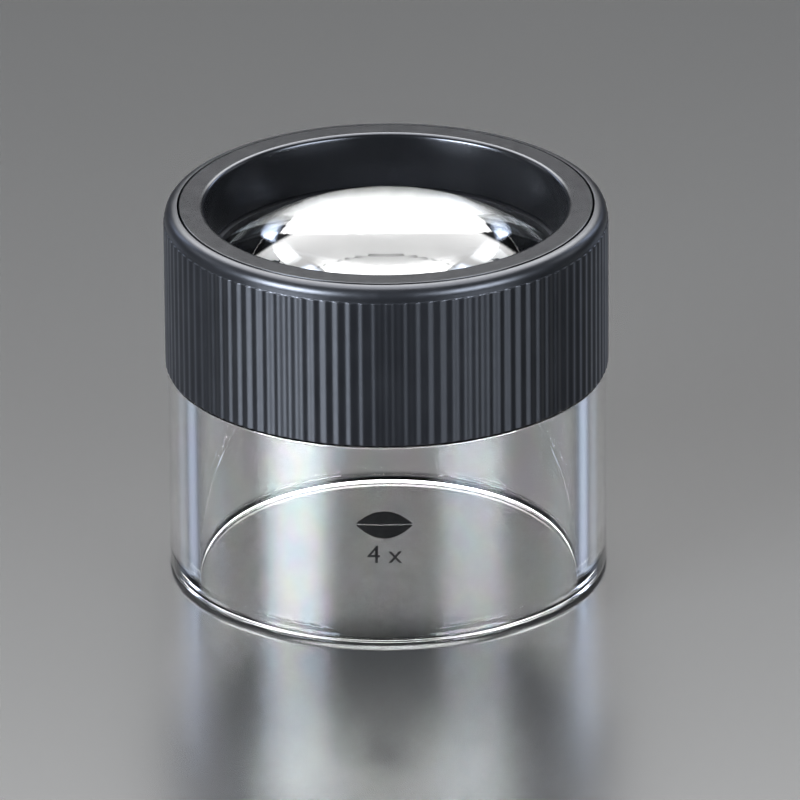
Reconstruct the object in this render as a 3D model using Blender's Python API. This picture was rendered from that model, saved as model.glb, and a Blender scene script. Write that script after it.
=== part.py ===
"""Focusing viewing loupe: a clear stand, a fluted focusing ring and a lens carriage.

The loupe stands on z = 0 with its optical axis on the Z axis and its front towards -Y.
Everything is modelled at rest, with the lens carriage fully down. Turning the grip ring
anticlockwise, seen from above, lifts the carriage along the three-start focusing thread.
All sizes are in metres.
"""

import math

import bmesh
import bpy
from mathutils import Matrix, Vector

GAP = 0.0003              # clearance between neighbouring pieces
TURNED_STEPS = 60         # facets round a turned piece
SMALL_STEPS = 48          # facets round a smaller, hidden turned piece
THREAD_STEPS = 40         # facets in a full turn of a thread rib
ROUND_SECTION_STEPS = 6   # sides of a round section
EDGE_STEPS = 2            # facets over a rounded edge
SHOULDER_STEPS = 5        # facets over the grip ring's broad shoulder
SCREW_STEPS = 16          # facets round a screw and its clearance hole
SCREW_HOLE_STEPS = 12     # facets round a screw's hole in the lens mount
SHARP_ANGLE = math.radians(35)
MERGE_DISTANCE = 1e-7
OVERCUT = 0.001           # how far a cutter runs past the surface that it opens
FRONT_ANGLE = -math.pi / 2

# Overall
TOTAL_HEIGHT = 0.06085
GRIP_RADIUS = 0.035       # over the crests of the flutes

# Clear base
BASE_RADIUS = 0.03465
BASE_BORE = 0.0301
BASE_EDGE = 0.0003        # broken edges of the shoulder and the bore
FOOT_ROUND = 0.0009       # radius of the foot's outer edge
SHOULDER_Z = 0.034
NECK_RADIUS = 0.0331      # the grip ring turns on this
NECK_STEP_Z = 0.0421      # the grip ring's ledge rests just above this step
NECK_TOP_RADIUS = 0.0323
NECK_TOP_Z = 0.0462
LIP_RADIUS = 0.02935      # inward lip, which guides and stops the lens mount
LIP_Z = 0.0432
KEY_NOTCH_INSET = 0.00015 # the key notches stop this far inside the bore

# Grip ring
RING_BORE = NECK_RADIUS + GAP
RING_LEDGE_RADIUS = NECK_TOP_RADIUS + GAP
RING_LEDGE_HEIGHT = 0.0012
FLUTE_COUNT = 110
FLUTE_PHASE = 0.2         # of a flute's pitch, from the -Y direction
FLUTE_DEPTH = 0.00025
FLUTE_TOP_Z = 0.0584
GROOVE_MOUTH = 0.62       # groove width over the crests, as a part of the pitch
GROOVE_FLOOR = 0.34       # groove width at its floor, as a part of the pitch
BAND_RADIUS = 0.0348      # smooth band above the flutes
RING_TOP_Z = 0.06075
RING_SHOULDER = 0.0019    # radius of the rounded shoulder

# Top bezel
BEZEL_RADIUS = 0.03255
BEZEL_INNER_RADIUS = 0.0285
BEZEL_OUTER_ROUND = 0.00015
BEZEL_INNER_ROUND = 0.0008
BEZEL_SEAM = 0.0003       # gap between the bezel and the grip ring round it
BEZEL_FOOT_Z = 0.0575     # underside of the bezel's flange
BEZEL_SKIRT_Z = 0.0523    # lower end of the bezel's skirt
BEZEL_SKIRT_RADIUS = 0.0302
BEZEL_SKIRT_INNER_RADIUS = 0.0277

# Focusing thread
THREAD_STARTS = 3
THREAD_LEAD = 0.012
THREAD_ROOT_WIDTH = 0.0021
THREAD_CREST_WIDTH = 0.0014
THREAD_DEPTH = 0.0009
THREAD_EMBED = 0.0004     # how far a rib is let into the wall that carries it
MALE_THREAD_Z = (0.0480, 0.0500)
FEMALE_THREAD_Z = (0.0476, 0.0559)
FOCUS_TRAVEL = 0.005

# Lens mount
MOUNT_RADIUS = 0.0290
MOUNT_FOOT_Z = 0.0359
MOUNT_FLANGE_RADIUS = 0.0322
MOUNT_TOP_Z = BEZEL_FOOT_Z - GAP
LENS_POCKET_RADIUS = 0.0279
LENS_OPENING_RADIUS = 0.0270
LENS_LIP_Z = (0.0512, 0.0520)

# Lenses
LENS_RADIUS = 0.0276
LENS_RING_STEPS = 6       # rings of facets over a lens surface
EYE_LENS_CURVE = 0.044
EYE_LENS_APEX_Z = 0.0601
EYE_LENS_FLAT_Z = 0.0485
FIELD_LENS_CURVE = 0.111
FIELD_LENS_FLAT_Z = 0.0469
FIELD_LENS_EDGE = 0.0020
SPACER_INNER_RADIUS = 0.0262
SEAL_RADIUS = 0.0269
SEAL_SECTION = 0.00045
SEAL_Z = 0.04385
RETAINER_INNER_RADIUS = 0.0253
RETAINER_Z = (0.04065, 0.0431)
SPANNER_NOTCH_DEPTH = 0.0012
SPANNER_NOTCH_WIDTH = 0.0018
SPANNER_NOTCH_HEIGHT = 0.0011

# Guide keys and their screws
KEY_COUNT = 3
KEY_FIRST_ANGLE = math.radians(90)
KEY_WIDTH = 0.0040
KEY_Z = (0.0382, 0.0466)
KEY_INNER_X = 0.0287
KEY_OUTER_X = 0.0296
KEY_SCREW_Z = 0.0420
SCREW_HEAD_RADIUS = 0.0012
SCREW_HEAD_X = (0.02925, 0.02955)
SCREW_SHANK_RADIUS = 0.0006
SCREW_SHANK_END_X = 0.0280
SCREW_SLOT_WIDTH = 0.0004
SCREW_SLOT_DEPTH = 0.00015

# Travel stop ring, snap ring and drag ring
STOP_RING_RADIUS = 0.02975
STOP_RING_FOOT_Z = 0.0349
STOP_RING_TOP_Z = LIP_Z - GAP - FOCUS_TRAVEL
STOP_RING_INNER_RADIUS = 0.0282
SNAP_RING_RADII = (0.0318, 0.0331)
SNAP_RING_HEIGHT = 0.0008
SNAP_RING_OPENING = math.radians(14)
DRAG_RING_SECTION = 0.00042
DRAG_RING_RADIUS = 0.03268
DRAG_RING_Z = 0.03685

BLACK_PLASTIC = (0.022, 0.023, 0.026, 1.0)
BLACK_BEZEL = (0.020, 0.021, 0.023, 1.0)
CLEAR_ACRYLIC = (0.90, 0.93, 0.95, 0.3)
LENS_GLASS = (0.92, 0.95, 0.95, 0.3)
RUBBER = (0.03, 0.03, 0.03, 1.0)
ACETAL = (0.85, 0.84, 0.80, 1.0)
STEEL = (0.55, 0.55, 0.56, 1.0)
ANODISED = (0.05, 0.05, 0.055, 1.0)


def clear_scene():
    """Remove everything that the open file already holds."""
    for item in list(bpy.data.objects):
        bpy.data.objects.remove(item, do_unlink=True)


def principled(name, colour, roughness, metallic=0.0, transmission=0.0):
    """A Principled BSDF material with the given colour and finish."""
    material = bpy.data.materials.new(name)
    material.use_nodes = True
    shader = material.node_tree.nodes["Principled BSDF"]
    shader.inputs["Base Color"].default_value = colour
    shader.inputs["Roughness"].default_value = roughness
    shader.inputs["Metallic"].default_value = metallic
    shader.inputs["Transmission Weight"].default_value = transmission
    shader.inputs["Alpha"].default_value = colour[3]
    return material


def add_object(name, mesh_builder, material=None, smooth=True):
    """Link a finished bmesh as a named object."""
    bmesh.ops.recalc_face_normals(mesh_builder, faces=mesh_builder.faces)
    mesh = bpy.data.meshes.new(name)
    mesh_builder.to_mesh(mesh)
    mesh_builder.free()
    if smooth:
        mesh.shade_smooth()
        mesh.set_sharp_from_angle(angle=SHARP_ANGLE)
    if material is not None:
        mesh.materials.append(material)
    item = bpy.data.objects.new(name, mesh)
    bpy.context.scene.collection.objects.link(item)
    return item


def add_helper(name, mesh_builder):
    """An object that only shapes another one, and is not a piece itself."""
    helper = add_object(name, mesh_builder, smooth=False)
    helper.hide_render = True
    helper.display_type = "WIRE"
    return helper


def combine(target, helper, operation):
    """Add a Boolean modifier that joins the helper to the target or cuts it away."""
    modifier = target.modifiers.new(helper.name, "BOOLEAN")
    modifier.operation = operation
    modifier.solver = "EXACT"
    modifier.object = helper


def arc(centre_r, centre_z, radius, start_degrees, end_degrees, steps):
    """Points (r, z) along a circular arc, both ends included."""
    points = []
    for step in range(steps + 1):
        angle = math.radians(start_degrees + (end_degrees - start_degrees) * step / steps)
        points.append((centre_r + radius * math.cos(angle), centre_z + radius * math.sin(angle)))
    return points


def dome(radius, curve, apex_z, direction, steps):
    """Points from the axis out to radius over a spherical lens surface.

    The surface bulges upwards where direction is 1 and downwards where it is -1.
    """
    points = []
    for step in range(steps + 1):
        r = radius * step / steps
        sag = curve - math.sqrt(curve * curve - r * r)
        points.append((r, apex_z - direction * sag))
    return points


def turned(outline, steps, sweep=math.tau):
    """A solid of revolution about Z from a closed outline of (r, z) points.

    A sweep of less than a full turn gives a split ring with flat ends.
    """
    builder = bmesh.new()
    corners = [builder.verts.new((r, 0.0, z)) for r, z in outline]
    full_turn = sweep >= math.tau
    if full_turn:
        on_axis = [r < MERGE_DISTANCE for r, z in outline]
        geometry = list(corners)
        for index, corner in enumerate(corners):
            following = (index + 1) % len(corners)
            if not (on_axis[index] and on_axis[following]):
                geometry.append(builder.edges.new((corner, corners[following])))
    else:
        geometry = [builder.faces.new(corners)]
    bmesh.ops.spin(builder, geom=geometry, cent=(0, 0, 0), axis=(0, 0, 1), angle=sweep,
                   steps=steps, use_merge=full_turn, use_duplicate=False)
    bmesh.ops.remove_doubles(builder, verts=builder.verts, dist=MERGE_DISTANCE)
    return builder


def torus(centre_r, centre_z, section, steps):
    """A ring of round section about Z."""
    outline = arc(centre_r, centre_z, section, 0, 360, ROUND_SECTION_STEPS)[:-1]
    return turned(outline, steps)


def block(x_range, y_range, z_range, angle=0.0):
    """A box between the given limits, turned by an angle about Z."""
    builder = bmesh.new()
    size = Vector((x_range[1] - x_range[0], y_range[1] - y_range[0], z_range[1] - z_range[0]))
    centre = Vector((sum(x_range), sum(y_range), sum(z_range))) / 2
    place = Matrix.Rotation(angle, 4, "Z") @ Matrix.Translation(centre) @ Matrix.Diagonal(size).to_4x4()
    bmesh.ops.create_cube(builder, size=1.0, matrix=place)
    return builder


def radial_rod(outline, z, angle, steps):
    """A turned piece whose axis is horizontal, through the Z axis at height z.

    The outline holds (radius, distance from the Z axis) points.
    """
    builder = turned(outline, steps)
    lay_down = Matrix.Rotation(math.pi / 2, 4, "Y")
    place = Matrix.Rotation(angle, 4, "Z") @ Matrix.Translation((0, 0, z)) @ lay_down
    bmesh.ops.transform(builder, matrix=place, verts=builder.verts)
    return builder


def merge_builders(builders):
    """Gather several bmeshes into one, as separate shells."""
    gathered = bmesh.new()
    for builder in builders:
        shell = bpy.data.meshes.new("shell")
        builder.to_mesh(shell)
        builder.free()
        gathered.from_mesh(shell)
        bpy.data.meshes.remove(shell)
    return gathered


def thread_angle(z, start, axial_offset):
    """Angle of one start of the left-hand focusing thread at height z."""
    turns = (z - axial_offset - FEMALE_THREAD_Z[0]) / THREAD_LEAD
    return math.tau * (start / THREAD_STARTS - turns)


def thread_rib(start, z_range, axial_offset, root_radius, crest_radius):
    """One helical rib of trapezoidal section, as a closed shell with flat ends."""
    outwards = 1 if crest_radius > root_radius else -1
    buried_radius = root_radius - outwards * THREAD_EMBED
    flare = (THREAD_ROOT_WIDTH - THREAD_CREST_WIDTH) / THREAD_DEPTH
    buried_width = THREAD_ROOT_WIDTH + flare * THREAD_EMBED
    section = [
        (buried_radius, -buried_width / 2),
        (crest_radius, -THREAD_CREST_WIDTH / 2),
        (crest_radius, THREAD_CREST_WIDTH / 2),
        (buried_radius, buried_width / 2),
    ]
    sweep = math.tau * (z_range[1] - z_range[0]) / THREAD_LEAD
    steps = math.ceil(sweep / (math.tau / THREAD_STEPS))
    builder = bmesh.new()
    rows = []
    for step in range(steps + 1):
        z = z_range[0] + (z_range[1] - z_range[0]) * step / steps
        angle = thread_angle(z, start, axial_offset)
        row = [builder.verts.new((r * math.cos(angle), r * math.sin(angle), z + dz)) for r, dz in section]
        rows.append(row)
    for lower, upper in zip(rows, rows[1:]):
        for index in range(len(section)):
            following = (index + 1) % len(section)
            builder.faces.new((lower[index], lower[following], upper[following], upper[index]))
    builder.faces.new(rows[0])
    builder.faces.new(rows[-1])
    return builder


def key_angles():
    """Directions of the guide keys about the Z axis."""
    return [KEY_FIRST_ANGLE + math.tau * index / KEY_COUNT for index in range(KEY_COUNT)]


def make_clear_base():
    """Clear stand: plain tube, shoulder, neck with two ring grooves and an inward lip."""
    drag_groove = DRAG_RING_RADIUS - DRAG_RING_SECTION - GAP
    drag_half = DRAG_RING_SECTION + GAP
    snap_groove = SNAP_RING_RADII[0] - GAP
    snap_low = NECK_STEP_Z + GAP + RING_LEDGE_HEIGHT + GAP
    snap_groove_z = (snap_low - GAP, snap_low + SNAP_RING_HEIGHT + GAP)
    outline = [
        *arc(BASE_RADIUS - FOOT_ROUND, FOOT_ROUND, FOOT_ROUND, -90, 0, EDGE_STEPS + 1),
        (BASE_RADIUS, SHOULDER_Z - BASE_EDGE),
        (BASE_RADIUS - BASE_EDGE, SHOULDER_Z),
        (NECK_RADIUS, SHOULDER_Z),
        (NECK_RADIUS, DRAG_RING_Z - drag_half),
        (drag_groove, DRAG_RING_Z - drag_half),
        (drag_groove, DRAG_RING_Z + drag_half),
        (NECK_RADIUS, DRAG_RING_Z + drag_half),
        (NECK_RADIUS, NECK_STEP_Z),
        (NECK_TOP_RADIUS, NECK_STEP_Z),
        (NECK_TOP_RADIUS, snap_groove_z[0]),
        (snap_groove, snap_groove_z[0]),
        (snap_groove, snap_groove_z[1]),
        (NECK_TOP_RADIUS, snap_groove_z[1]),
        (NECK_TOP_RADIUS, NECK_TOP_Z),
        (LIP_RADIUS, NECK_TOP_Z),
        (LIP_RADIUS, LIP_Z),
        (BASE_BORE, LIP_Z),
        (BASE_BORE, BASE_EDGE),
        (BASE_BORE + BASE_EDGE, 0.0),
    ]
    material = principled("clear_acrylic", CLEAR_ACRYLIC, 0.05, transmission=1.0)
    base = add_object("clear_base", turned(outline, TURNED_STEPS), material)
    notches = [
        block((LIP_RADIUS - OVERCUT, BASE_BORE - KEY_NOTCH_INSET),
              (-KEY_WIDTH / 2 - GAP, KEY_WIDTH / 2 + GAP),
              (LIP_Z - OVERCUT, NECK_TOP_Z + OVERCUT), angle)
        for angle in key_angles()
    ]
    combine(base, add_helper("key_notches", merge_builders(notches)), "DIFFERENCE")


def flute_groove(index):
    """Cutter for one groove between two ribs of the grip ring."""
    pitch = math.tau / FLUTE_COUNT
    angle = FRONT_ANGLE + (index + FLUTE_PHASE + 0.5) * pitch
    floor_radius = GRIP_RADIUS - FLUTE_DEPTH
    floor_half = floor_radius * pitch * GROOVE_FLOOR / 2
    mouth_half = GRIP_RADIUS * pitch * GROOVE_MOUTH / 2
    flare = (mouth_half - floor_half) / FLUTE_DEPTH
    outer_radius = GRIP_RADIUS + FLUTE_DEPTH
    outer_half = floor_half + flare * (outer_radius - floor_radius)
    section = [
        (floor_radius, -floor_half),
        (outer_radius, -outer_half),
        (outer_radius, outer_half),
        (floor_radius, floor_half),
    ]
    foot_z = SHOULDER_Z - OVERCUT
    builder = bmesh.new()
    foot = [builder.verts.new((x, y, foot_z)) for x, y in section]
    top = [builder.verts.new((x, y, FLUTE_TOP_Z)) for x, y in section]
    builder.faces.new(foot)
    builder.faces.new(top)
    for corner in range(len(section)):
        following = (corner + 1) % len(section)
        builder.faces.new((foot[corner], foot[following], top[following], top[corner]))
    bmesh.ops.rotate(builder, cent=(0, 0, 0), matrix=Matrix.Rotation(angle, 3, "Z"), verts=builder.verts)
    return builder


def make_grip_ring():
    """Fluted focusing ring with its retaining ledge and female focusing thread."""
    ring_foot = SHOULDER_Z + GAP
    ledge_z = NECK_STEP_Z + GAP
    shoulder_z = RING_TOP_Z - RING_SHOULDER
    outline = [
        (0.0, ring_foot),
        (GRIP_RADIUS, ring_foot),
        (GRIP_RADIUS, FLUTE_TOP_Z),
        (BAND_RADIUS, FLUTE_TOP_Z + GRIP_RADIUS - BAND_RADIUS),
        *arc(BAND_RADIUS - RING_SHOULDER, shoulder_z, RING_SHOULDER, 0, 90, SHOULDER_STEPS),
        (0.0, RING_TOP_Z),
    ]
    body = turned(outline, FLUTE_COUNT)
    crest_angle = FRONT_ANGLE + FLUTE_PHASE * math.tau / FLUTE_COUNT
    bmesh.ops.rotate(body, cent=(0, 0, 0), matrix=Matrix.Rotation(crest_angle, 3, "Z"), verts=body.verts)
    ring = add_object("grip_ring", body, principled("grip_black", BLACK_PLASTIC, 0.38))
    bore_outline = [
        (0.0, ring_foot - OVERCUT),
        (RING_BORE, ring_foot - OVERCUT),
        (RING_BORE, ledge_z),
        (RING_LEDGE_RADIUS, ledge_z),
        (RING_LEDGE_RADIUS, ledge_z + RING_LEDGE_HEIGHT),
        (RING_BORE, ledge_z + RING_LEDGE_HEIGHT),
        (RING_BORE, MOUNT_TOP_Z),
        (BEZEL_RADIUS + BEZEL_SEAM, MOUNT_TOP_Z),
        (BEZEL_RADIUS + BEZEL_SEAM, RING_TOP_Z + OVERCUT),
        (0.0, RING_TOP_Z + OVERCUT),
    ]
    combine(ring, add_helper("ring_bore", turned(bore_outline, TURNED_STEPS)), "DIFFERENCE")
    grooves = [flute_groove(index) for index in range(FLUTE_COUNT)]
    combine(ring, add_helper("flute_grooves", merge_builders(grooves)), "DIFFERENCE")
    ribs = [
        thread_rib(start, FEMALE_THREAD_Z, 0.0, RING_BORE, RING_BORE - THREAD_DEPTH)
        for start in range(THREAD_STARTS)
    ]
    combine(ring, add_helper("female_thread", merge_builders(ribs)), "UNION")


def make_top_bezel():
    """Flat ring round the eye side, with a skirt that screws into the lens mount."""
    outer_z = TOTAL_HEIGHT - BEZEL_OUTER_ROUND
    inner_z = TOTAL_HEIGHT - BEZEL_INNER_ROUND
    outer = arc(BEZEL_RADIUS - BEZEL_OUTER_ROUND, outer_z, BEZEL_OUTER_ROUND, 0, 90, EDGE_STEPS + 1)
    inner = arc(BEZEL_INNER_RADIUS + BEZEL_INNER_ROUND, inner_z, BEZEL_INNER_ROUND, 90, 180, EDGE_STEPS + 1)
    outline = [
        (BEZEL_RADIUS, BEZEL_FOOT_Z),
        *outer,
        *inner,
        (BEZEL_SKIRT_INNER_RADIUS, BEZEL_SKIRT_Z),
        (BEZEL_SKIRT_RADIUS, BEZEL_SKIRT_Z),
        (BEZEL_SKIRT_RADIUS, BEZEL_FOOT_Z),
    ]
    add_object("top_bezel", turned(outline, TURNED_STEPS), principled("bezel_black", BLACK_BEZEL, 0.3))


def make_lens_mount():
    """Sliding barrel: lens pocket, male focusing thread, and pockets for the keys."""
    pocket_top, lip_top = LENS_LIP_Z
    recess_radius = BEZEL_SKIRT_RADIUS + GAP
    outline = [
        (LENS_POCKET_RADIUS, MOUNT_FOOT_Z),
        (MOUNT_RADIUS, MOUNT_FOOT_Z),
        (MOUNT_RADIUS, NECK_TOP_Z + GAP),
        (MOUNT_FLANGE_RADIUS, NECK_TOP_Z + GAP),
        (MOUNT_FLANGE_RADIUS, MOUNT_TOP_Z),
        (recess_radius, MOUNT_TOP_Z),
        (recess_radius, lip_top),
        (LENS_OPENING_RADIUS, lip_top),
        (LENS_OPENING_RADIUS, pocket_top),
        (LENS_POCKET_RADIUS, pocket_top),
    ]
    material = principled("mount_black", BLACK_PLASTIC, 0.5)
    mount = add_object("lens_mount", turned(outline, TURNED_STEPS), material)
    half_pitch = THREAD_LEAD / THREAD_STARTS / 2
    crest_radius = MOUNT_FLANGE_RADIUS + THREAD_DEPTH
    ribs = [
        thread_rib(start, MALE_THREAD_Z, half_pitch, MOUNT_FLANGE_RADIUS, crest_radius)
        for start in range(THREAD_STARTS)
    ]
    combine(mount, add_helper("male_thread", merge_builders(ribs)), "UNION")
    pockets = []
    for angle in key_angles():
        pockets.append(block((KEY_INNER_X - GAP, KEY_OUTER_X + OVERCUT),
                             (-KEY_WIDTH / 2 - GAP, KEY_WIDTH / 2 + GAP),
                             (KEY_Z[0] - GAP, KEY_Z[1] + GAP), angle))
    combine(mount, add_helper("key_pockets", merge_builders(pockets)), "DIFFERENCE")
    holes = []
    for angle in key_angles():
        radius = SCREW_SHANK_RADIUS + GAP
        hole = [
            (0, LENS_OPENING_RADIUS),
            (radius, LENS_OPENING_RADIUS),
            (radius, KEY_INNER_X),
            (0, KEY_INNER_X),
        ]
        holes.append(radial_rod(hole, KEY_SCREW_Z, angle, SCREW_HOLE_STEPS))
    combine(mount, add_helper("key_screw_holes", merge_builders(holes)), "DIFFERENCE")


def make_lenses():
    """The two plano-convex lenses and the rings that hold them apart and in place."""
    glass = principled("lens_glass", LENS_GLASS, 0.0, transmission=1.0)
    eye_outline = dome(LENS_RADIUS, EYE_LENS_CURVE, EYE_LENS_APEX_Z, 1, LENS_RING_STEPS)
    eye_outline += [(LENS_RADIUS, EYE_LENS_FLAT_Z), (0.0, EYE_LENS_FLAT_Z)]
    add_object("eye_lens", turned(eye_outline, SMALL_STEPS), glass)

    sag = FIELD_LENS_CURVE - math.sqrt(FIELD_LENS_CURVE ** 2 - LENS_RADIUS ** 2)
    field_apex_z = FIELD_LENS_FLAT_Z - FIELD_LENS_EDGE - sag
    field_outline = dome(LENS_RADIUS, FIELD_LENS_CURVE, field_apex_z, -1, LENS_RING_STEPS)
    field_outline += [(LENS_RADIUS, FIELD_LENS_FLAT_Z), (0.0, FIELD_LENS_FLAT_Z)]
    field_glass = principled("field_glass", LENS_GLASS, 0.0, transmission=1.0)
    add_object("field_lens", turned(field_outline, SMALL_STEPS), field_glass)

    spacer_z = (FIELD_LENS_FLAT_Z + GAP, EYE_LENS_FLAT_Z - GAP)
    spacer_outline = [
        (SPACER_INNER_RADIUS, spacer_z[0]),
        (LENS_RADIUS, spacer_z[0]),
        (LENS_RADIUS, spacer_z[1]),
        (SPACER_INNER_RADIUS, spacer_z[1]),
    ]
    add_object("lens_spacer", turned(spacer_outline, SMALL_STEPS), principled("spacer_black", ANODISED, 0.6))
    add_object("lens_seal", torus(SEAL_RADIUS, SEAL_Z, SEAL_SECTION, SMALL_STEPS),
               principled("seal_rubber", RUBBER, 0.8))


def make_retaining_ring():
    """Threaded ring under the field lens, with two notches for a spanner."""
    outline = [
        (RETAINER_INNER_RADIUS, RETAINER_Z[0]),
        (LENS_RADIUS, RETAINER_Z[0]),
        (LENS_RADIUS, RETAINER_Z[1]),
        (RETAINER_INNER_RADIUS, RETAINER_Z[1]),
    ]
    material = principled("retainer_black", ANODISED, 0.5)
    ring = add_object("lens_retaining_ring", turned(outline, SMALL_STEPS), material)
    notches = []
    for angle in (0.0, math.pi):
        notches.append(block((RETAINER_INNER_RADIUS - OVERCUT, RETAINER_INNER_RADIUS + SPANNER_NOTCH_DEPTH),
                             (-SPANNER_NOTCH_WIDTH / 2, SPANNER_NOTCH_WIDTH / 2),
                             (RETAINER_Z[0] - OVERCUT, RETAINER_Z[0] + SPANNER_NOTCH_HEIGHT), angle))
    combine(ring, add_helper("spanner_notches", merge_builders(notches)), "DIFFERENCE")


def make_guide_key(number, angle):
    """One key with a stepped hole for its screw."""
    key = add_object(f"guide_key_{number}",
                     block((KEY_INNER_X, KEY_OUTER_X), (-KEY_WIDTH / 2, KEY_WIDTH / 2), KEY_Z, angle),
                     principled(f"acetal_{number}", ACETAL, 0.45), smooth=False)
    head_radius = SCREW_HEAD_RADIUS + GAP
    shank_radius = SCREW_SHANK_RADIUS + GAP
    head_x = SCREW_HEAD_X[0] - GAP
    hole = [
        (0, KEY_INNER_X - OVERCUT),
        (shank_radius, KEY_INNER_X - OVERCUT),
        (shank_radius, head_x),
        (head_radius, head_x),
        (head_radius, KEY_OUTER_X + OVERCUT),
        (0, KEY_OUTER_X + OVERCUT),
    ]
    cutter = add_helper(f"key_hole_{number}", radial_rod(hole, KEY_SCREW_Z, angle, SCREW_STEPS))
    combine(key, cutter, "DIFFERENCE")


def make_key_screw(number, angle):
    """Small cheese-head screw that holds a key to the lens mount."""
    outline = [
        (0, SCREW_SHANK_END_X),
        (SCREW_SHANK_RADIUS, SCREW_SHANK_END_X),
        (SCREW_SHANK_RADIUS, SCREW_HEAD_X[0]),
        (SCREW_HEAD_RADIUS, SCREW_HEAD_X[0]),
        (SCREW_HEAD_RADIUS, SCREW_HEAD_X[1]),
        (0, SCREW_HEAD_X[1]),
    ]
    screw = add_object(f"key_screw_{number}", radial_rod(outline, KEY_SCREW_Z, angle, SCREW_STEPS),
                       principled(f"screw_steel_{number}", STEEL, 0.3, metallic=1.0))
    slot_half = SCREW_HEAD_RADIUS + OVERCUT
    slot = block((SCREW_HEAD_X[1] - SCREW_SLOT_DEPTH, SCREW_HEAD_X[1] + OVERCUT),
                 (-slot_half, slot_half),
                 (KEY_SCREW_Z - SCREW_SLOT_WIDTH / 2, KEY_SCREW_Z + SCREW_SLOT_WIDTH / 2), angle)
    combine(screw, add_helper(f"screw_slot_{number}", slot), "DIFFERENCE")


def make_travel_stop_ring():
    """Ring on the mount's lower end, which meets the base's lip at full travel."""
    collar_bore = MOUNT_RADIUS + GAP
    outline = [
        (STOP_RING_INNER_RADIUS, STOP_RING_FOOT_Z),
        (STOP_RING_RADIUS, STOP_RING_FOOT_Z),
        (STOP_RING_RADIUS, STOP_RING_TOP_Z),
        (collar_bore, STOP_RING_TOP_Z),
        (collar_bore, MOUNT_FOOT_Z - GAP),
        (STOP_RING_INNER_RADIUS, MOUNT_FOOT_Z - GAP),
    ]
    add_object("travel_stop_ring", turned(outline, SMALL_STEPS), principled("stop_black", ANODISED, 0.5))


def make_snap_ring():
    """Split spring ring in the neck's groove, above the grip ring's ledge."""
    low = NECK_STEP_Z + GAP + RING_LEDGE_HEIGHT + GAP
    inner, outer = SNAP_RING_RADII
    outline = [(inner, low), (outer, low), (outer, low + SNAP_RING_HEIGHT), (inner, low + SNAP_RING_HEIGHT)]
    builder = turned(outline, SMALL_STEPS, sweep=math.tau - SNAP_RING_OPENING)
    add_object("snap_ring", builder, principled("snap_steel", STEEL, 0.35, metallic=1.0))


def make_focus_drag_ring():
    """O-ring in the neck that rubs in the grip ring's bore."""
    add_object("focus_drag_ring", torus(DRAG_RING_RADIUS, DRAG_RING_Z, DRAG_RING_SECTION, SMALL_STEPS),
               principled("drag_rubber", RUBBER, 0.8))


def build():
    """Make every piece of the loupe."""
    clear_scene()
    make_clear_base()
    make_grip_ring()
    make_top_bezel()
    make_lens_mount()
    make_lenses()
    make_retaining_ring()
    make_travel_stop_ring()
    make_snap_ring()
    make_focus_drag_ring()
    for index, angle in enumerate(key_angles()):
        make_guide_key(index + 1, angle)
        make_key_screw(index + 1, angle)


build()
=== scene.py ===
import math

import bmesh
import bpy
from mathutils import Matrix, Vector


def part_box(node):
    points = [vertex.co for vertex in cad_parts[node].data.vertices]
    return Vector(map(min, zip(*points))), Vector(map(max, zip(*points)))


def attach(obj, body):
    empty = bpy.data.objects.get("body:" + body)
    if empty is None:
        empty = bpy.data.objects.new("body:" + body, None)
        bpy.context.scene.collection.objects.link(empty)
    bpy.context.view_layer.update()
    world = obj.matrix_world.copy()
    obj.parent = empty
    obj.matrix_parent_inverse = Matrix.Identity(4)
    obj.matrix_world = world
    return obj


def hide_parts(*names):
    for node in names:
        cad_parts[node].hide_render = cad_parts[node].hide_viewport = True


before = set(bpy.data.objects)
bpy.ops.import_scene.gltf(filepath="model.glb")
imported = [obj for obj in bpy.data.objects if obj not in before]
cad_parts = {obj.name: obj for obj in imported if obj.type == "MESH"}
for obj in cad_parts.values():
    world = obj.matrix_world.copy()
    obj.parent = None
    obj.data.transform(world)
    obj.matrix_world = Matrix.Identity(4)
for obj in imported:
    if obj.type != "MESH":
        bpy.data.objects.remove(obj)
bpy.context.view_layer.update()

MM = 0.001
FRONT = -math.pi / 2          # direction of the loupe's front about Z

# ---------------------------------------------------------------- sizes from the frame
BASE_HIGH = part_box("clear_base")[1]
RING_LOW, RING_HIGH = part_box("grip_ring")
BEZEL_LOW, BEZEL_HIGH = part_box("top_bezel")
EYE_LOW, EYE_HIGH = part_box("eye_lens")
FIELD_LOW, FIELD_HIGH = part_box("field_lens")
MOUNT_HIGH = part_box("lens_mount")[1]

BASE_RADIUS = BASE_HIGH.x
LENS_RADIUS = EYE_HIGH.x
BEZEL_RADIUS = BEZEL_HIGH.x
GRIP_RADIUS = (RING_HIGH.x - RING_LOW.x) / 2

# ---------------------------------------------------------------- details of the shapes
SEGMENTS = 240                # facets round a smooth turned piece
EDGE_SUPPORT = 0.06 * MM      # how close a flat run's extra points are to its ends
AXIS_TOLERANCE = 1e-9         # a point nearer to the axis than this is on it
CREASE_DEGREES = 32           # edges sharper than this stay sharp
RING_CREASE_DEGREES = 50

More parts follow.
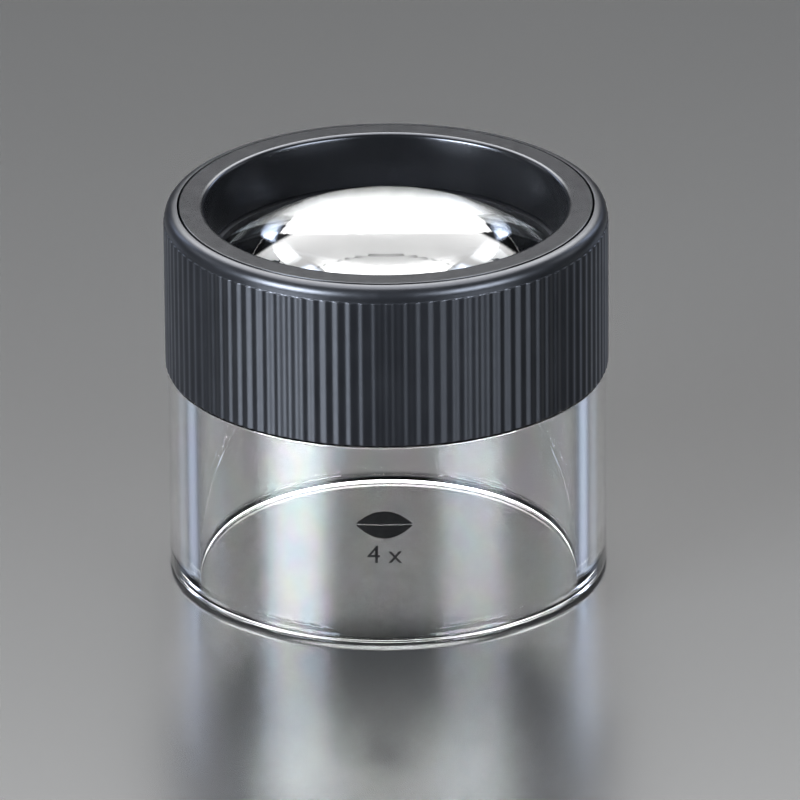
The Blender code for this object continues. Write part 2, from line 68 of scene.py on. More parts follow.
BASE_BORE = 30.1 * MM
FOOT_ROUND = 0.9 * MM
INNER_FOOT_ROUND = 0.35 * MM
SHOULDER_ROUND = 0.2 * MM
SHOULDER_Z = RING_LOW.z - 0.3 * MM
NECK_RADIUS = 33.1 * MM
NECK_STEP_Z = 42.1 * MM
NECK_TOP_RADIUS = 32.3 * MM
LIP_RADIUS = 29.35 * MM
LIP_Z = 43.2 * MM
DRAG_GROOVE = (31.96 * MM, 36.13 * MM, 37.57 * MM)      # radius, lower and upper end
SNAP_GROOVE = (31.5 * MM, 43.6 * MM, 45.0 * MM)
KEY_ANGLES = [math.radians(90 + 120 * index) for index in range(3)]
KEY_NOTCH_WIDTH = 4.6 * MM
KEY_NOTCH_RADIUS = BASE_BORE - 0.15 * MM
KEY_NOTCH_Z = LIP_Z - 0.8 * MM
CUT_MARGIN = 1 * MM           # how far a cutter reaches past the material it removes

FLUTE_COUNT = 110
FLUTE_PHASE = 0.2
FLUTE_DEPTH = 0.15 * MM
FLUTE_SAMPLES = 14            # points over one rib and its groove
FLUTE_TOP_Z = 58.4 * MM
FLUTE_RUN_OUT = 0.1 * MM      # the grooves end this far below and above that height
RUN_OUT_STEPS = 6
RING_FOOT_BEVEL = 0.12 * MM
BEVEL_MIDDLE = 0.3            # a bevel's middle point lies this share of it inside the corner
BAND_RADIUS = 34.8 * MM
RING_SHOULDER = 1.9 * MM
RING_BORE = 33.4 * MM
RING_TOP_BORE = BEZEL_RADIUS + 0.3 * MM
RING_LEDGE = (32.6 * MM, 42.4 * MM, 43.6 * MM)          # radius, lower and upper end

BEZEL_INNER_RADIUS = 28.5 * MM
BEZEL_OUTER_ROUND = 0.12 * MM
BEZEL_INNER_ROUND = 0.8 * MM
BEZEL_SKIRT_RADIUS = 30.2 * MM
BEZEL_SKIRT_INNER = 27.7 * MM
BEZEL_FOOT_Z = 57.5 * MM

EYE_CURVE = 44.0 * MM
FIELD_CURVE = 111.0 * MM
FIELD_EDGE = 2.0 * MM
LENS_BEVEL = 0.25 * MM
LENS_RINGS = 40

MARK_ASIDE = -0.6 * MM        # the print stands a little left of the front
MARK_Z = 15.7 * MM            # middle of the printed figure
MARK_FIGURE_HEIGHT = 3.0 * MM
MARK_ICON_Z = 20.9 * MM
MARK_ICON_WIDTH = 8.9 * MM
MARK_ICON_HEIGHT = 4.4 * MM
MARK_ICON_SPLIT = 0.22 * MM   # the sign's thin axis line
MARK_ICON_EDGE = 0.02 * MM    # the bows' thickness at their points
MARK_ICON_STEPS = 28
MARK_THICKNESS = 0.02 * MM
MARK_GAP = 0.005 * MM         # between the print and the stand
MARK_LONGEST_EDGE = 0.4 * MM  # longer edges are divided, so the print follows the curve
FONT_FIGURE_SHARE = 0.7       # a figure's height over the font's size

# ---------------------------------------------------------------- the camera and the studio
CAMERA_DISTANCE = 2.0
CAMERA_ELEVATION = math.radians(23.46)
CAMERA_ROLL = math.radians(-0.45)
SENSOR_WIDTH = 36.0           # mm
CAMERA_LENS = 569.3           # mm
CAMERA_TARGET = Vector((0, 0, 30 * MM))
CAMERA_ASIDE = 2.02 * MM      # the object stands this far left of the middle
CAMERA_BELOW = 2.67 * MM      # and this far above it
FLOOR_GAP = 0.03 * MM         # the film of air under the stand's polished foot
FLOOR_HALF_WIDTH = 2.5
PANEL_DISTANCE = 3.2          # from the loupe to each light
BOX_LIGHT = (0.88, 0.94, 1.0)
SIDE_LIGHT = (0.92, 0.96, 1.0)
STRIP_LIGHT = (0.66, 0.77, 1.0)
BROAD_FADE = (0.35, 0.35)     # share of a light's width and height over which it fades out
WORLD_COLOUR = (0.03, 0.031, 0.033, 1.0)


# ---------------------------------------------------------------- mesh helpers
def arc(centre_r, centre_z, radius, start_degrees, end_degrees, steps):
    """Points (r, z) along a circular arc, both ends included."""
    points = []
    for step in range(steps + 1):
        angle = math.radians(start_degrees + (end_degrees - start_degrees) * step / steps)
        points.append((centre_r + radius * math.cos(angle), centre_z + radius * math.sin(angle)))
    return points


def supported(outline):
    """The closed outline with extra points close to the ends of its long straight runs.

    They keep the shading of a flat run flat when it meets a rounded edge.
    """
    points = []
    for start, end in zip(outline, outline[1:] + outline[:1]):
        points.append(start)
        length = math.dist(start, end)
        if length > 4 * EDGE_SUPPORT:
            for share in (EDGE_SUPPORT / length, 1 - EDGE_SUPPORT / length):
                points.append(tuple(a + (b - a) * share for a, b in zip(start, end)))
    return points


def turned(outline):
    """A solid of revolution about Z from a closed outline of (r, z) points."""
    builder = bmesh.new()
    rings = []
    for r, z in supported(outline):
        if r < AXIS_TOLERANCE:
            rings.append([builder.verts.new((0, 0, z))])
            continue
        ring = []
        for step in range(SEGMENTS):
            angle = math.tau * step / SEGMENTS
            ring.append(builder.verts.new((r * math.cos(angle), r * math.sin(angle), z)))
        rings.append(ring)
    for lower, upper in zip(rings, rings[1:] + rings[:1]):
        if len(lower) > 1 or len(upper) > 1:
            join_rings(builder, lower, upper)
    bmesh.ops.recalc_face_normals(builder, faces=builder.faces)
    return builder


def join_rings(builder, first, second):
    """Faces between two rings of points, either of which may be a single point on the axis."""
    count = max(len(first), len(second))
    for index in range(count):
        following = (index + 1) % count
        if len(first) == 1:
            builder.faces.new((first[0], second[index], second[following]))
        elif len(second) == 1:
            builder.faces.new((first[index], first[following], second[0]))
        else:
            builder.faces.new((first[index], first[following], second[following], second[index]))


def finish_piece(name, builder, body, material, crease_degrees=CREASE_DEGREES):
    """Link a bmesh as a named piece that rides on a body and has a material."""
    mesh = bpy.data.meshes.new(name)
    builder.to_mesh(mesh)
    builder.free()
    mesh.shade_smooth()
    mesh.set_sharp_from_angle(angle=math.radians(crease_degrees))
    mesh.materials.append(material)
    piece = bpy.data.objects.new(name, mesh)
    bpy.context.scene.collection.objects.link(piece)
    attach(piece, body)
    return piece


def block(x_range, y_range, z_range, angle):
    """A box between the given limits, turned by an angle about Z."""
    builder = bmesh.new()
    size = Vector((x_range[1] - x_range[0], y_range[1] - y_range[0], z_range[1] - z_range[0]))
    centre = Vector((sum(x_range), sum(y_range), sum(z_range))) / 2
    place = Matrix.Rotation(angle, 4, "Z") @ Matrix.Translation(centre) @ Matrix.Diagonal(size).to_4x4()
    bmesh.ops.create_cube(builder, size=1.0, matrix=place)
    return builder


# ---------------------------------------------------------------- materials
class Nodes:
    """Short names for building a node material."""

    def __init__(self, name):
        self.material = bpy.data.materials.new(name)
        self.material.use_nodes = True
        self.tree = self.material.node_tree
        self.shader = self.tree.nodes["Principled BSDF"]
        self.coordinates = self.tree.nodes.new("ShaderNodeTexCoord")

    def set(self, **values):
        """Give the shader's sockets plain values."""
        for name, value in values.items():
            self.shader.inputs[name.replace("_", " ")].default_value = value

    def link(self, source, target):
        self.tree.links.new(source, target)

    def noise(self, scale, detail=4.0, roughness=0.55, stretch=None):
        """A noise value over the object's own coordinates."""
        node = self.tree.nodes.new("ShaderNodeTexNoise")
        node.inputs["Scale"].default_value = scale
        node.inputs["Detail"].default_value = detail
        node.inputs["Roughness"].default_value = roughness
        source = self.coordinates.outputs["Object"]
        if stretch is not None:
            mapping = self.tree.nodes.new("ShaderNodeMapping")
            mapping.inputs["Scale"].default_value = stretch
            self.link(source, mapping.inputs["Vector"])
            source = mapping.outputs["Vector"]
        self.link(source, node.inputs["Vector"])
        return node.outputs["Fac"]

    def remap(self, source, low, high, to_low, to_high):
        """Map a value's range to another, without going past its ends."""
        node = self.tree.nodes.new("ShaderNodeMapRange")
        node.inputs["From Min"].default_value = low
        node.inputs["From Max"].default_value = high
        node.inputs["To Min"].default_value = to_low
        node.inputs["To Max"].default_value = to_high
        self.link(source, node.inputs["Value"])
        return node.outputs["Result"]

    def ramp(self, source, stops):
        """Colours along a value, from (position, colour) stops."""
        node = self.tree.nodes.new("ShaderNodeValToRGB")
        elements = node.color_ramp.elements
        while len(elements) < len(stops):
            elements.new(0.5)
        for element, (position, colour) in zip(elements, stops):
            element.position = position
            element.color = (*colour, 1.0)
        self.link(source, node.inputs["Fac"])
        return node.outputs["Color"]

    def bump(self, height, strength, distance):
        """Feed a height to the shader's normal."""
        node = self.tree.nodes.new("ShaderNodeBump")
        node.inputs["Strength"].default_value = strength
        node.inputs["Distance"].default_value = distance
        self.link(height, node.inputs["Height"])
        self.link(node.outputs["Normal"], self.shader.inputs["Normal"])


def black_plastic(name, dark, light, rough_low, rough_high, grain, grain_height):
    """Moulded black plastic: faint cloudiness, fine grain, and handling marks in the gloss."""
    nodes = Nodes(name)
    nodes.set(IOR=1.43, Specular_Tint=(0.84, 0.88, 1.0, 1.0))
    clouds = nodes.noise(160.0, 3.0)
    nodes.link(nodes.ramp(clouds, [(0.3, dark), (0.75, light)]), nodes.shader.inputs["Base Color"])
    smudges = nodes.noise(420.0, 6.0, 0.7)
    nodes.link(nodes.remap(smudges, 0.35, 0.7, rough_low, rough_high), nodes.shader.inputs["Roughness"])
    nodes.bump(nodes.noise(grain, 2.0), 0.35, grain_height)
    return nodes.material


def clear_plastic(name):
    """Polished clear acrylic with faint moulding tints and very fine wear."""
    nodes = Nodes(name)
    nodes.set(IOR=1.49, Transmission_Weight=1.0)
    tints = nodes.noise(120.0, 1.0, 0.4, stretch=(1.0, 1.0, 0.6))
    stops = [
        (0.30, (0.950, 0.985, 1.0)),
        (0.42, (0.995, 0.960, 1.0)),
        (0.50, (1.0, 0.997, 0.965)),
        (0.58, (0.960, 1.0, 0.985)),
        (0.70, (0.975, 0.965, 1.0)),
    ]
    nodes.link(nodes.ramp(tints, stops), nodes.shader.inputs["Base Color"])
    strain = nodes.noise(150.0, 1.0, 0.4, stretch=(1.0, 1.0, 0.7))
    strain_colours = [
        (0.34, (0.78, 0.90, 1.0)),
        (0.42, (1.0, 0.84, 0.98)),
        (0.50, (1.0, 1.0, 0.84)),
        (0.58, (0.80, 1.0, 0.94)),
        (0.66, (0.90, 0.84, 1.0)),
    ]
    nodes.link(nodes.ramp(strain, strain_colours), nodes.shader.inputs["Specular Tint"])
    scuffs = nodes.noise(900.0, 8.0, 0.75)
    nodes.link(nodes.remap(scuffs, 0.55, 0.8, 0.0, 0.04), nodes.shader.inputs["Roughness"])
    nodes.bump(nodes.noise(60.0, 1.0), 0.04, 0.02 * MM)
    return nodes.material


def optical_glass(name):
    """Polished lens glass with a trace of dust in its gloss."""
    nodes = Nodes(name)
    nodes.set(IOR=1.52, Transmission_Weight=1.0)
    tint = nodes.noise(25.0, 1.0)
    nodes.link(nodes.ramp(tint, [(0.3, (0.815, 0.825, 0.820)), (0.7, (0.850, 0.856, 0.853))]),
               nodes.shader.inputs["Base Color"])
    dust = nodes.noise(1500.0, 8.0, 0.8)
    nodes.link(nodes.remap(dust, 0.66, 0.85, 0.0, 0.05), nodes.shader.inputs["Roughness"])
    return nodes.material


def ground_glass(name):
    """The lens's ground edge: grey and frosted."""
    nodes = Nodes(name)
    nodes.set(IOR=1.52, Transmission_Weight=0.6)
    speckle = nodes.noise(3000.0, 3.0)
    nodes.link(nodes.ramp(speckle, [(0.3, (0.32, 0.33, 0.33)), (0.7, (0.5, 0.5, 0.5))]),
               nodes.shader.inputs["Base Color"])
    nodes.link(nodes.remap(speckle, 0.3, 0.7, 0.5, 0.75), nodes.shader.inputs["Roughness"])
    return nodes.material


def printing_ink(name):
    """Dark screen-printed ink with a slightly uneven film."""
    nodes = Nodes(name)
    nodes.set(Specular_IOR_Level=0.15)
    film = nodes.noise(2500.0, 4.0)
    nodes.link(nodes.ramp(film, [(0.3, (0.002, 0.002, 0.002)), (0.7, (0.004, 0.004, 0.004))]),
               nodes.shader.inputs["Base Color"])
    nodes.link(nodes.remap(film, 0.3, 0.7, 0.35, 0.5), nodes.shader.inputs["Roughness"])
    return nodes.material


def turned_metal(name, dark, light, rough_low, rough_high, metallic):
    """Metal with fine turning marks round the Z axis."""
    nodes = Nodes(name)
    nodes.set(Metallic=metallic)
    marks = nodes.noise(300.0, 4.0, 0.6, stretch=(0.2, 0.2, 12.0))
    nodes.link(nodes.ramp(marks, [(0.3, dark), (0.7, light)]), nodes.shader.inputs["Base Color"])
    nodes.link(nodes.remap(marks, 0.3, 0.7, rough_low, rough_high), nodes.shader.inputs["Roughness"])
    nodes.bump(marks, 0.2, 0.01 * MM)
    return nodes.material


def soft_rubber(name):
    """Dull black rubber."""
    nodes = Nodes(name)
    grain = nodes.noise(1800.0, 4.0)
    nodes.link(nodes.ramp(grain, [(0.3, (0.012, 0.012, 0.012)), (0.7, (0.03, 0.03, 0.03))]),
               nodes.shader.inputs["Base Color"])
    nodes.link(nodes.remap(grain, 0.3, 0.7, 0.7, 0.9), nodes.shader.inputs["Roughness"])
    nodes.bump(grain, 0.3, 0.01 * MM)
    return nodes.material


def milky_acetal(name):
    """Natural acetal: off-white and waxy."""
    nodes = Nodes(name)
    nodes.set(Subsurface_Weight=0.2, IOR=1.48)
    nodes.shader.inputs["Subsurface Radius"].default_value = (0.4 * MM, 0.35 * MM, 0.3 * MM)
    cloud = nodes.noise(500.0, 3.0)
    nodes.link(nodes.ramp(cloud, [(0.3, (0.76, 0.75, 0.70)), (0.7, (0.84, 0.83, 0.79))]),
               nodes.shader.inputs["Base Color"])
    nodes.link(nodes.remap(cloud, 0.3, 0.7, 0.4, 0.55), nodes.shader.inputs["Roughness"])
    return nodes.material


# ---------------------------------------------------------------- the pieces
def make_base():
    """The clear stand, with its neck, ring grooves, inward lip and key notches."""
    drag_radius, drag_low, drag_high = DRAG_GROOVE
    snap_radius, snap_low, snap_high = SNAP_GROOVE
    outline = [
        *arc(BASE_RADIUS - FOOT_ROUND, FOOT_ROUND, FOOT_ROUND, -90, 0, 6),
        *arc(BASE_RADIUS - SHOULDER_ROUND, SHOULDER_Z - SHOULDER_ROUND, SHOULDER_ROUND, 0, 90, 4),
        (NECK_RADIUS, SHOULDER_Z),
        (NECK_RADIUS, drag_low),
        (drag_radius, drag_low),
        (drag_radius, drag_high),
        (NECK_RADIUS, drag_high),
        (NECK_RADIUS, NECK_STEP_Z),
        (NECK_TOP_RADIUS, NECK_STEP_Z),
        (NECK_TOP_RADIUS, snap_low),
        (snap_radius, snap_low),
        (snap_radius, snap_high),
        (NECK_TOP_RADIUS, snap_high),
        (NECK_TOP_RADIUS, BASE_HIGH.z),
        (LIP_RADIUS, BASE_HIGH.z),
        (LIP_RADIUS, LIP_Z),
        (BASE_BORE, LIP_Z),
        *arc(BASE_BORE + INNER_FOOT_ROUND, INNER_FOOT_ROUND, INNER_FOOT_ROUND, 180, 270, 6),
    ]
    builder = turned(outline)
    base = finish_piece("clear_stand", builder, "base", clear_plastic("clear_acrylic"))
    x_range = (LIP_RADIUS - CUT_MARGIN, KEY_NOTCH_RADIUS)
    y_range = (-KEY_NOTCH_WIDTH / 2, KEY_NOTCH_WIDTH / 2)
    z_range = (KEY_NOTCH_Z, BASE_HIGH.z + CUT_MARGIN)
    for number, angle in enumerate(KEY_ANGLES):
        cut_away(base, block(x_range, y_range, z_range, angle), f"notch_{number}")
    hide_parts("clear_base")
    return base


def cut_away(target, builder, name):
    """Cut a shape out of a piece for good."""
    bmesh.ops.recalc_face_normals(builder, faces=builder.faces)
    mesh = bpy.data.meshes.new(name)
    builder.to_mesh(mesh)
    builder.free()
    cutter = bpy.data.objects.new(name, mesh)
    bpy.context.scene.collection.objects.link(cutter)
    modifier = target.modifiers.new(name, "BOOLEAN")
    modifier.operation = "DIFFERENCE"
    modifier.object = cutter
    graph = bpy.context.evaluated_depsgraph_get()
    shaped = bpy.data.meshes.new_from_object(target.evaluated_get(graph), depsgraph=graph)
    target.modifiers.remove(modifier)
    target.data = shaped
    bpy.data.objects.remove(cutter)


def smooth_step(value):
    """0 below 0, 1 above 1, and a smooth rise between."""
    value = min(1.0, max(0.0, value))
    return value * value * (3 - 2 * value)


def flute_inset(share):
    """How far a rib's surface lies inside the crest radius; share is the place over one pitch."""
    return FLUTE_DEPTH * (1 - math.cos(math.tau * share)) / 2


def grip_ring_rows():
    """The ring's rows from the foot's bore outwards, up, over the top and down the bore.

    Each is a radius, a height, whether the row is fluted, and how far its grooves have run out.
    """
    foot = RING_LOW.z
    top = RING_HIGH.z
    bevel = RING_FOOT_BEVEL
    ledge_radius, ledge_low, ledge_high = RING_LEDGE
    rows = [
        (RING_BORE, foot, 0.0, 0.0),
        (GRIP_RADIUS - bevel, foot, 1.0, 0.0),
        (GRIP_RADIUS - bevel * BEVEL_MIDDLE, foot + bevel * BEVEL_MIDDLE, 1.0, 0.0),
        (GRIP_RADIUS, foot + bevel, 1.0, 0.0),
        (GRIP_RADIUS, foot + bevel + EDGE_SUPPORT, 1.0, 0.0),
        (GRIP_RADIUS, FLUTE_TOP_Z - FLUTE_RUN_OUT - EDGE_SUPPORT, 1.0, 0.0),
    ]
    for step in range(RUN_OUT_STEPS + 1):
        share = step / RUN_OUT_STEPS
        z = FLUTE_TOP_Z - FLUTE_RUN_OUT + 2 * FLUTE_RUN_OUT * share
        rows.append((GRIP_RADIUS, z, 1.0, smooth_step(share)))
    smooth = [
        *arc(BAND_RADIUS - RING_SHOULDER, top - RING_SHOULDER, RING_SHOULDER, 0, 90, 18),
        (RING_TOP_BORE, top),
        (RING_TOP_BORE, MOUNT_HIGH.z),
        (RING_BORE, MOUNT_HIGH.z),
        (RING_BORE, ledge_high),
        (ledge_radius, ledge_high),
        (ledge_radius, ledge_low),
        (RING_BORE, ledge_low),
    ]
    rows += [(r, z, 0.0, 0.0) for r, z in smooth]
    return rows


def make_grip_ring():
    """The fluted focusing ring: ribs, run-out, smooth band, rounded shoulder and stepped bore."""
    builder = bmesh.new()
    count = FLUTE_COUNT * FLUTE_SAMPLES
    rings = []
    for r, z, fluted, run_out in grip_ring_rows():
        ring = []
        for step in range(count):
            inset = flute_inset(step / FLUTE_SAMPLES) * fluted
            radius = (r - inset) * (1 - run_out) + BAND_RADIUS * run_out
            angle = FRONT + math.tau * (step / FLUTE_SAMPLES + FLUTE_PHASE) / FLUTE_COUNT
            ring.append(builder.verts.new((radius * math.cos(angle), radius * math.sin(angle), z)))
        rings.append(ring)
    for lower, upper in zip(rings, rings[1:] + rings[:1]):
        join_rings(builder, lower, upper)
    bmesh.ops.recalc_face_normals(builder, faces=builder.faces)
    colours = ((0.0035, 0.0037, 0.0045), (0.0055, 0.0058, 0.0068))
    material = black_plastic("grip_black", *colours, 0.28, 0.34, 2600.0, 0.004 * MM)
    ring = finish_piece("fluted_ring", builder, "focus_ring", material, RING_CREASE_DEGREES)
    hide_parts("grip_ring")
    return ring


def make_bezel():
    """The flat eye-side rim with softly rounded edges."""
    top = BEZEL_HIGH.z
    outer = BEZEL_OUTER_ROUND
    inner = BEZEL_INNER_ROUND
    outline = [
        (BEZEL_RADIUS, BEZEL_FOOT_Z),
        *arc(BEZEL_RADIUS - outer, top - outer, outer, 0, 90, 4),
        *arc(BEZEL_INNER_RADIUS + inner, top - inner, inner, 90, 180, 8),
        (BEZEL_SKIRT_INNER, BEZEL_LOW.z),
        (BEZEL_SKIRT_RADIUS, BEZEL_LOW.z),
        (BEZEL_SKIRT_RADIUS, BEZEL_FOOT_Z),
    ]
    colours = ((0.0025, 0.0026, 0.0030), (0.0040, 0.0042, 0.0047))
    material = black_plastic("bezel_black", *colours, 0.19, 0.22, 1800.0, 0.004 * MM)
    bezel = finish_piece("eye_rim", turned(outline), "lens_carriage", material)
    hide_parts("top_bezel")
    return bezel


def dome(curve, edge_z, apex_z):
    """Points from the axis out to the lens's edge over a spherical surface."""
    direction = 1 if apex_z > edge_z else -1
    points = []
    for step in range(LENS_RINGS + 1):
        r = (LENS_RADIUS - LENS_BEVEL) * step / LENS_RINGS
        sag = curve - math.sqrt(curve * curve - r * r)
        points.append((r, apex_z - direction * sag))
    return points


def make_lens(name, outline, polished, ground, node):
    """A lens whose rim and bevels are ground, and whose two faces are polished."""
    lens = finish_piece(name, turned(outline), "lens_carriage", polished)
    lens.data.materials.append(ground)
    for face in lens.data.polygons:
        centre = face.center
        if math.hypot(centre.x, centre.y) > LENS_RADIUS - LENS_BEVEL:
            face.material_index = 1
    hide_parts(node)
    return lens


def make_lenses():
    """The domed eye lens and the field lens below it."""
    polished = optical_glass("lens_glass")
    ground = ground_glass("lens_ground_edge")
    sag = EYE_CURVE - math.sqrt(EYE_CURVE ** 2 - LENS_RADIUS ** 2)
    eye_edge = EYE_HIGH.z - sag
    eye_outline = dome(EYE_CURVE, eye_edge, EYE_HIGH.z)
    eye_outline += [
        (LENS_RADIUS, eye_edge - LENS_BEVEL),
        (LENS_RADIUS, EYE_LOW.z + LENS_BEVEL),
        (LENS_RADIUS - LENS_BEVEL, EYE_LOW.z),
        (0.0, EYE_LOW.z),
    ]
    make_lens("domed_eye_lens", eye_outline, polished, ground, "eye_lens")
    field_edge = FIELD_HIGH.z - FIELD_EDGE
    field_outline = dome(FIELD_CURVE, field_edge, FIELD_LOW.z)
    field_outline += [
        (LENS_RADIUS, field_edge + LENS_BEVEL),
        (LENS_RADIUS, FIELD_HIGH.z - LENS_BEVEL),
        (LENS_RADIUS - LENS_BEVEL, FIELD_HIGH.z),
        (0.0, FIELD_HIGH.z),
    ]
    make_lens("lower_field_lens", field_outline, polished, ground, "field_lens")


def wrap_on_base(builder):
    """Wrap flat shapes, drawn in x and z, round the front of the clear stand."""
    for vertex in builder.verts:
        x, depth, z = vertex.co
        radius = BASE_RADIUS + MARK_GAP + depth
        angle = FRONT + (x + MARK_ASIDE) / BASE_RADIUS
        vertex.co = (radius * math.cos(angle), radius * math.sin(angle), z)


def lens_icon():
    """A plain pictogram of a lens: two shallow bows, point to point, split by a thin axis line."""
    builder = bmesh.new()
    half_width = MARK_ICON_WIDTH / 2
    half_height = MARK_ICON_HEIGHT / 2
    half_split = MARK_ICON_SPLIT / 2
    for side in (1, -1):
        inner = []
        outer = []
        for step in range(MARK_ICON_STEPS + 1):
            x = -half_width + 2 * half_width * step / MARK_ICON_STEPS
            bow = half_height * (1 - (x / half_width) ** 2)
            inner.append(builder.verts.new((x, 0, side * half_split)))
            outer.append(builder.verts.new((x, 0, side * (half_split + bow + MARK_ICON_EDGE))))
        for step in range(MARK_ICON_STEPS):
            builder.faces.new((inner[step], inner[step + 1], outer[step + 1], outer[step]))
    bmesh.ops.translate(builder, vec=(0, 0, MARK_ICON_Z), verts=builder.verts)
    return builder


def figure_shapes():
    """The magnification figure, from the built-in font, as flat faces."""
    text = bpy.data.curves.new("magnification", "FONT")
    text.body = "4 x"
    text.align_x = "CENTER"
    text.align_y = "CENTER"
    text.size = MARK_FIGURE_HEIGHT / FONT_FIGURE_SHARE
    text.resolution_u = 6
    holder = bpy.data.objects.new("magnification", text)
    bpy.context.scene.collection.objects.link(holder)
    graph = bpy.context.evaluated_depsgraph_get()
    flat = bpy.data.meshes.new_from_object(holder.evaluated_get(graph), depsgraph=graph)
    bpy.data.objects.remove(holder)
    builder = bmesh.new()
    builder.from_mesh(flat)
    stand_up = Matrix.Rotation(math.pi / 2, 3, "X")
    bmesh.ops.rotate(builder, cent=(0, 0, 0), matrix=stand_up, verts=builder.verts)
    bmesh.ops.translate(builder, vec=(0, 0, MARK_Z), verts=builder.verts)
    return builder


def make_mark():
    """The printed magnification and a generic lens sign, as a thin film on the stand."""
    ink = printing_ink("printed_ink")
    for name, builder in (("printed_figure", figure_shapes()), ("printed_sign", lens_icon())):
        long_edges = [edge for edge in builder.edges if edge.calc_length() > MARK_LONGEST_EDGE]
        bmesh.ops.subdivide_edges(builder, edges=long_edges, cuts=2)
        shape = bmesh.ops.extrude_face_region(builder, geom=list(builder.faces))
        moved = [item for item in shape["geom"] if isinstance(item, bmesh.types.BMVert)]
        bmesh.ops.translate(builder, vec=(0, MARK_THICKNESS, 0), verts=moved)
        wrap_on_base(builder)
        bmesh.ops.recalc_face_normals(builder, faces=builder.faces)
        finish_piece(name, builder, "base", ink)


def dress_frame_nodes():
    """Materials for the CAD nodes that stay as they are."""
    colours = ((0.004, 0.004, 0.0045), (0.007, 0.007, 0.008))
    mount = black_plastic("mount_black", *colours, 0.45, 0.6, 2200.0, 0.02 * MM)
    anodised = turned_metal("ring_black", (0.012, 0.012, 0.014), (0.03, 0.03, 0.033), 0.35, 0.5, 0.6)
    steel = turned_metal("bright_steel", (0.42, 0.42, 0.43), (0.62, 0.62, 0.63), 0.22, 0.36, 1.0)
    rubber = soft_rubber("rubber_black")
    acetal = milky_acetal("acetal")
    finishes = {
        "lens_mount": mount,
        "lens_spacer": anodised,
        "lens_retaining_ring": anodised,
        "travel_stop_ring": anodised,
        "snap_ring": steel,
        "lens_seal": rubber,
        "focus_drag_ring": rubber,
    }
    for number in (1, 2, 3):
        finishes[f"guide_key_{number}"] = acetal
        finishes[f"key_screw_{number}"] = steel
    for name, material in finishes.items():
        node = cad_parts[name]
        for material_slot in node.material_slots:
            material_slot.material = material


# ---------------------------------------------------------------- studio
def flat_square(name, half, material):
    """A flat square about its own middle, linked to the scene."""
    builder = bmesh.new()
    corners = []
    for x, y in ((-half, -half), (half, -half), (half, half), (-half, half)):
        corners.append(builder.verts.new((x, y, 0)))
    builder.faces.new(corners)
    mesh = bpy.data.meshes.new(name)
    builder.to_mesh(mesh)
    builder.free()
    mesh.materials.append(material)
    square = bpy.data.objects.new(name, mesh)
    bpy.context.scene.collection.objects.link(square)
    return square


def floor_material():
    """Dark satin surface, which looks grey because its sheen shows the lights."""
    nodes = Nodes("studio_floor")
    nodes.set(Roughness=0.24, IOR=1.6)
    clouds = nodes.noise(6.0, 2.0)
    nodes.link(nodes.ramp(clouds, [(0.3, (0.019, 0.019, 0.019)), (0.7, (0.021, 0.021, 0.021))]),
               nodes.shader.inputs["Base Color"])
    return nodes.material


def make_floor():
    """A wide flat surface under the loupe."""
    floor = flat_square("floor", FLOOR_HALF_WIDTH, floor_material())
    floor.location.z = -FLOOR_GAP


def glow_material(name, radiance, colour, soft_edge):
    """An even glow that fades out towards the edges of a one metre square."""
    material = bpy.data.materials.new(name)
    material.use_nodes = True
    tree = material.node_tree
    tree.nodes.clear()
    output = tree.nodes.new("ShaderNodeOutputMaterial")
    emission = tree.nodes.new("ShaderNodeEmission")
    emission.inputs["Color"].default_value = (*colour, 1.0)
    tree.links.new(emission.outputs["Emission"], output.inputs["Surface"])
    coordinates = tree.nodes.new("ShaderNodeTexCoord")
    split = tree.nodes.new("ShaderNodeSeparateXYZ")
    tree.links.new(coordinates.outputs["Object"], split.inputs["Vector"])
    strength = None
    for axis, edge in zip(("X", "Y"), soft_edge):
        size = tree.nodes.new("ShaderNodeMath")
        size.operation = "ABSOLUTE"
        tree.links.new(split.outputs[axis], size.inputs[0])
        fade = tree.nodes.new("ShaderNodeMapRange")
        fade.interpolation_type = "SMOOTHSTEP"
        fade.inputs["From Min"].default_value = 0.5
        fade.inputs["From Max"].default_value = 0.5 - edge
        fade.inputs["To Min"].default_value = 0.0
        fade.inputs["To Max"].default_value = radiance if strength is None else 1.0
        tree.links.new(size.outputs["Value"], fade.inputs["Value"])
        if strength is None:
            strength = fade.outputs["Result"]
        else:
            product = tree.nodes.new("ShaderNodeMath")
            product.operation = "MULTIPLY"
            tree.links.new(strength, product.inputs[0])
            tree.links.new(fade.outputs["Result"], product.inputs[1])
            strength = product.outputs["Value"]
    tree.links.new(strength, emission.inputs["Strength"])
    return material


def soft_panel(name, azimuth, elevation, size_degrees, radiance, soft_edge, colour=(1.0, 1.0, 1.0)):
    """A glowing rectangle that faces the loupe from afar.

    Azimuth 0 is on the camera's side and positive to the right. The size is the
    angle that the panel fills across and upwards, seen from the loupe.
    """
    panel = flat_square(name, 0.5, glow_material(name, radiance, colour, soft_edge))
    around = math.radians(azimuth)
    above = math.radians(elevation)
    level = math.cos(above)
    direction = Vector((math.sin(around) * level, -math.cos(around) * level, math.sin(above)))
    width, height = (2 * PANEL_DISTANCE * math.tan(math.radians(angle / 2)) for angle in size_degrees)
    panel.scale = (width, height, 1.0)
    panel.location = CAMERA_TARGET + direction * PANEL_DISTANCE
    panel.rotation_mode = "QUATERNION"
    panel.rotation_quaternion = direction.to_track_quat("Z", "Y")


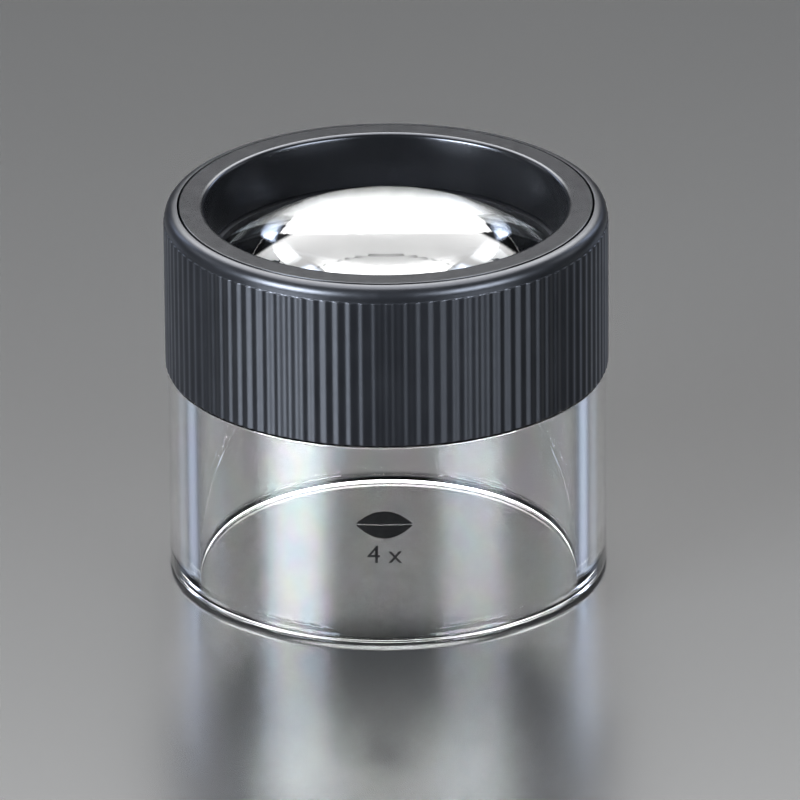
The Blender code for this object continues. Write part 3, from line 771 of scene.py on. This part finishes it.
def make_studio():
    """Soft lights and a plain surrounding."""
    soft_panel("back_panel", 180, 45, (78, 36), 9.2, (0.32, 0.10))
    soft_panel("top_panel", 180, 74, (56, 32), 8, (0.12, 0.12))
    soft_panel("left_box", -52, 24, (45, 34), 68, BROAD_FADE, BOX_LIGHT)
    soft_panel("right_box", 48, 24, (48, 34), 27, BROAD_FADE, BOX_LIGHT)
    soft_panel("left_side", -112, 24, (26, 30), 2, BROAD_FADE, SIDE_LIGHT)
    soft_panel("right_side", 112, 24, (26, 30), 2, BROAD_FADE, SIDE_LIGHT)
    soft_panel("left_strip", -138, 24, (14, 30), 5, BROAD_FADE, STRIP_LIGHT)
    soft_panel("right_strip", 138, 24, (14, 30), 6.5, BROAD_FADE, STRIP_LIGHT)
    world = bpy.data.worlds.new("studio")
    world.use_nodes = True
    world.node_tree.nodes["Background"].inputs["Color"].default_value = WORLD_COLOUR
    world.node_tree.nodes["Background"].inputs["Strength"].default_value = 1.0
    bpy.context.scene.world = world
    bpy.context.scene.view_settings.view_transform = "Standard"


def make_camera():
    """A long lens at the viewing angle, slightly rolled."""
    back = Vector((0, -math.cos(CAMERA_ELEVATION), math.sin(CAMERA_ELEVATION)))
    level = Vector((1, 0, 0))
    upright = back.cross(level)
    right = level * math.cos(CAMERA_ROLL) + upright * math.sin(CAMERA_ROLL)
    up = upright * math.cos(CAMERA_ROLL) - level * math.sin(CAMERA_ROLL)
    place = CAMERA_TARGET + back * CAMERA_DISTANCE + right * CAMERA_ASIDE - up * CAMERA_BELOW
    data = bpy.data.cameras.new("camera")
    data.sensor_width = SENSOR_WIDTH
    data.lens = CAMERA_LENS
    data.clip_start = 0.1
    data.clip_end = 20.0
    camera = bpy.data.objects.new("camera", data)
    bpy.context.scene.collection.objects.link(camera)
    turn = Matrix((right, up, back)).transposed().to_4x4()
    camera.matrix_world = Matrix.Translation(place) @ turn
    bpy.context.scene.camera = camera


make_camera()
make_studio()
make_floor()
make_base()
make_grip_ring()
make_bezel()
make_lenses()
make_mark()
dress_frame_nodes()
